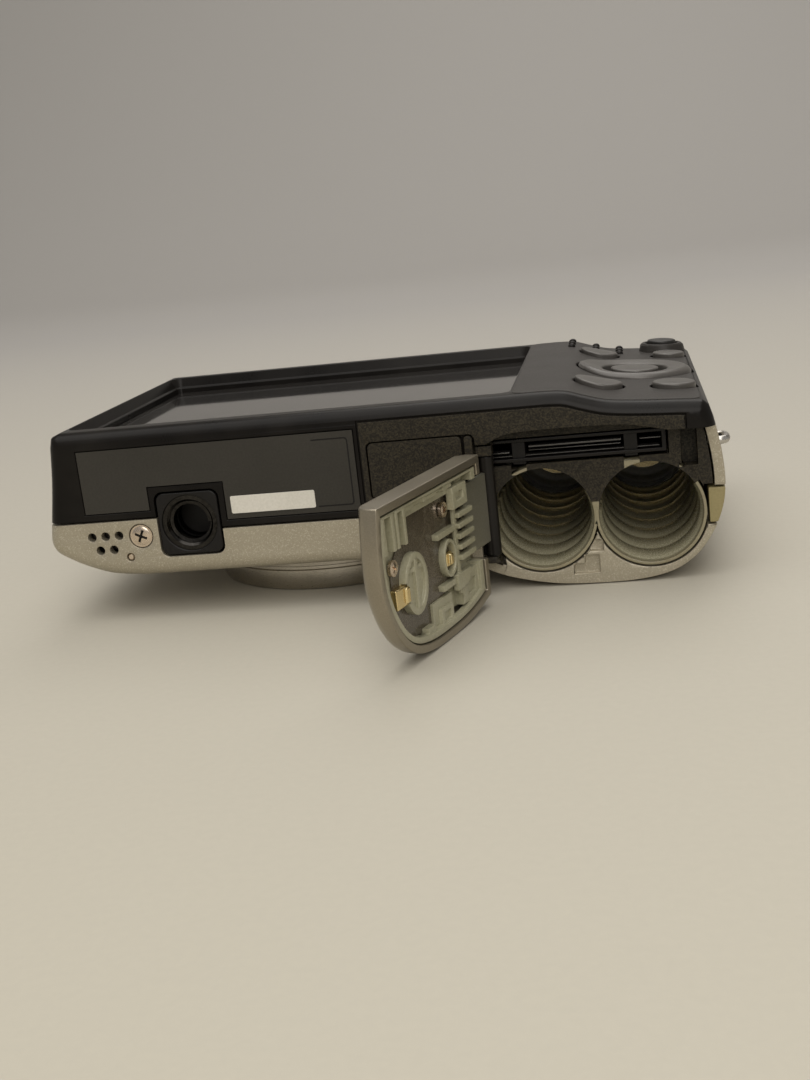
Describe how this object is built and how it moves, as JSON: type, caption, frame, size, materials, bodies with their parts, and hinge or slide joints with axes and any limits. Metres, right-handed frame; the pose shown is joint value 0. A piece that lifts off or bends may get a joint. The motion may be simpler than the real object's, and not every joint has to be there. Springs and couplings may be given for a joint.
{
  "type": "compact digital camera",
  "caption": "Compact digital camera lying on its lens ring, with its battery and card door swung open at the grip end of the bottom face.",
  "frame": {"origin": "under the middle of the whole camera with its door open, on the surface that it lies on", "axes": "+X towards the grip and battery end, +Y towards the top face with the shutter button, +Z out of the screen face"},
  "size_m": [0.1008, 0.096, 0.0288],
  "materials": {
    "champagne_shell": "metallic champagne paint, satin",
    "champagne_door": "metallic champagne paint, satin",
    "black_shell": "fine satin black",
    "screen_glass": "clear gloss over a dark screen",
    "lcd_metal": "satin",
    "label_grey": "satin film",
    "sticker_white": "satin film",
    "tripod_plastic": "rough black",
    "screw_steel": "satin nickel",
    "speaker_metal": "satin",
    "chamber_khaki": "semi-gloss moulded",
    "frame_black": "rough black",
    "contact_gold": "polished pale gold plate",
    "board_green": "solder mask",
    "ring_silver": "satin champagne",
    "barrel_black": "matte",
    "blade_black": "matte",
    "lens_glass": "coated gloss",
    "flash_clear": "ribbed clear",
    "reflector_mirror": "bright",
    "capacitor_sleeve": "shrink sleeve",
    "lamp_amber": "clear amber",
    "cover_rubber": "matte",
    "dc_rubber": "matte",
    "key_grey": "satin",
    "hinge_metal": "satin",
    "door_khaki": "semi-gloss moulded",
    "plate_brown": "satin"
  },
  "bodies": {
    "body": {"front_cover": "champagne_shell", "rear_cover": "black_shell", "screen_window": "screen_glass", "lcd_panel": "lcd_metal", "rating_label": "label_grey", "serial_sticker": "sticker_white", "tripod_block": "tripod_plastic", "tripod_bush": "screw_steel", "bottom_screw": "screw_steel", "case_pin": "screw_steel", "hinge_pin": "screw_steel", "strap_eyelet": "screw_steel", "connector_socket": "screw_steel", "zoom_motor": "screw_steel", "speaker": "speaker_metal", "battery_chamber": "chamber_khaki", "battery_frame": "frame_black", "card_slot": "frame_black", "lens_housing": "frame_black", "cell_contact_1": "contact_gold", "cell_contact_2": "contact_gold", "main_board": "board_green", "key_board": "board_green", "image_sensor": "board_green", "lens_ring": "ring_silver", "flash_window": "flash_clear", "flash_reflector": "reflector_mirror", "flash_capacitor": "capacitor_sleeve", "self_timer_lamp": "lamp_amber", "connector_anchor": "cover_rubber"},
    "lens_outer": {"outer_barrel": "ring_silver"},
    "lens_inner": {"inner_barrel": "barrel_black", "front_lens": "lens_glass"},
    "blade_1": {"cover_blade_1": "blade_black"},
    "blade_2": {"cover_blade_2": "blade_black"},
    "lever": {"zoom_lever": "champagne_shell"},
    "shutter": {"shutter_button": "champagne_shell"},
    "power": {"power_button": "champagne_shell"},
    "menu_key": {"menu_button": "key_grey"},
    "delete_key": {"delete_button": "key_grey"},
    "playback_key": {"playback_button": "key_grey"},
    "mode_key": {"mode_button": "key_grey"},
    "record_key": {"record_button": "key_grey"},
    "ok_key": {"ok_button": "key_grey"},
    "selector_gimbal": {"selector_carrier": "barrel_black"},
    "selector": {"selector_ring": "key_grey"},
    "connector_flap": {"connector_cover": "cover_rubber"},
    "dc_flap": {"dc_cover": "dc_rubber"},
    "door_arm": {"door_hinge_arm": "hinge_metal"},
    "door": {"door_cover": "champagne_door", "door_inner": "door_khaki", "door_contact_plate": "plate_brown", "door_contact_1": "contact_gold", "door_contact_2": "contact_gold", "door_screw_1": "screw_steel", "door_screw_2": "screw_steel"}
  },
  "joints": [
    {"name": "door_hinge", "type": "hinge", "parent": "body", "child": "door_arm", "pos_m": [0.0161, -0.01237, 0.0132], "axis": [0, 0, 1], "range_deg": [0, 108]},
    {"name": "door_slide", "type": "slide", "parent": "door_arm", "child": "door", "axis": [0.309, 0.9511, 0], "range_m": [0, 0.004]},
    {"name": "lens_extend", "type": "slide", "parent": "body", "child": "lens_outer", "axis": [0, 0, -1], "range_m": [0, 0.01]},
    {"name": "lens_inner_slide", "type": "slide", "parent": "lens_outer", "child": "lens_inner", "axis": [0, 0, -1], "range_m": [0, 0.009]},
    {"name": "blade_1_turn", "type": "hinge", "parent": "lens_inner", "child": "blade_1", "pos_m": [-0.0033, 0.01523, 0.0022], "axis": [0, 0, -1], "range_deg": [0, 32]},
    {"name": "blade_2_turn", "type": "hinge", "parent": "lens_inner", "child": "blade_2", "pos_m": [-0.0213, 0.01523, 0.0022], "axis": [0, 0, -1], "range_deg": [0, 32]},
    {"name": "zoom_lever_turn", "type": "hinge", "parent": "body", "child": "lever", "pos_m": [0.0312, 0.04593, 0.0125], "axis": [0, 1, 0], "range_deg": [-20, 20], "stiffness_Nm_per_rad": 0.02},
    {"name": "shutter_press", "type": "slide", "parent": "body", "child": "shutter", "axis": [0, -1, 0], "range_m": [0, 0.0008], "stiffness_N_per_m": 1200},
    {"name": "power_press", "type": "slide", "parent": "body", "child": "power", "axis": [0, -1, 0], "range_m": [0, 0.0003], "stiffness_N_per_m": 2000},
    {"name": "menu_press", "type": "slide", "parent": "body", "child": "menu_key", "axis": [0, 0, -1], "range_m": [0, 0.0004], "stiffness_N_per_m": 2000},
    {"name": "delete_press", "type": "slide", "parent": "body", "child": "delete_key", "axis": [0, 0, -1], "range_m": [0, 0.0004], "stiffness_N_per_m": 2000},
    {"name": "playback_press", "type": "slide", "parent": "body", "child": "playback_key", "axis": [0, 0, -1], "range_m": [0, 0.0004], "stiffness_N_per_m": 2000},
    {"name": "mode_press", "type": "slide", "parent": "body", "child": "mode_key", "axis": [0, 0, -1], "range_m": [0, 0.0004], "stiffness_N_per_m": 2000},
    {"name": "record_press", "type": "slide", "parent": "body", "child": "record_key", "axis": [0, 0, -1], "range_m": [0, 0.0004], "stiffness_N_per_m": 2000},
    {"name": "ok_press", "type": "slide", "parent": "body", "child": "ok_key", "axis": [0, 0, -1], "range_m": [0, 0.0004], "stiffness_N_per_m": 2000},
    {"name": "selector_tilt_x", "type": "hinge", "parent": "body", "child": "selector_gimbal", "pos_m": [0.0378, 0.01593, 0.0253], "axis": [1, 0, 0], "range_deg": [-2, 2], "stiffness_Nm_per_rad": 0.2},
    {"name": "selector_tilt_y", "type": "hinge", "parent": "selector_gimbal", "child": "selector", "pos_m": [0.0378, 0.01593, 0.0253], "axis": [0, 1, 0], "range_deg": [-2, 2], "stiffness_Nm_per_rad": 0.2},
    {"name": "connector_cover_turn", "type": "hinge", "parent": "body", "child": "connector_flap", "pos_m": [0.013, -0.01362, 0.0197], "axis": [0, 0, 1], "range_deg": [0, 55]},
    {"name": "dc_cover_turn", "type": "hinge", "parent": "body", "child": "dc_flap", "pos_m": [0.04915, -0.00607, 0.0105], "axis": [0, 0, 1], "range_deg": [0, 70]}
  ],
  "couplings": [
    {"joint": "lens_inner_slide", "follows": "lens_extend", "ratio": 0.9},
    {"joint": "blade_1_turn", "follows": "lens_extend", "rad_per_m": 55},
    {"joint": "blade_2_turn", "follows": "lens_extend", "rad_per_m": 55}
  ]
}
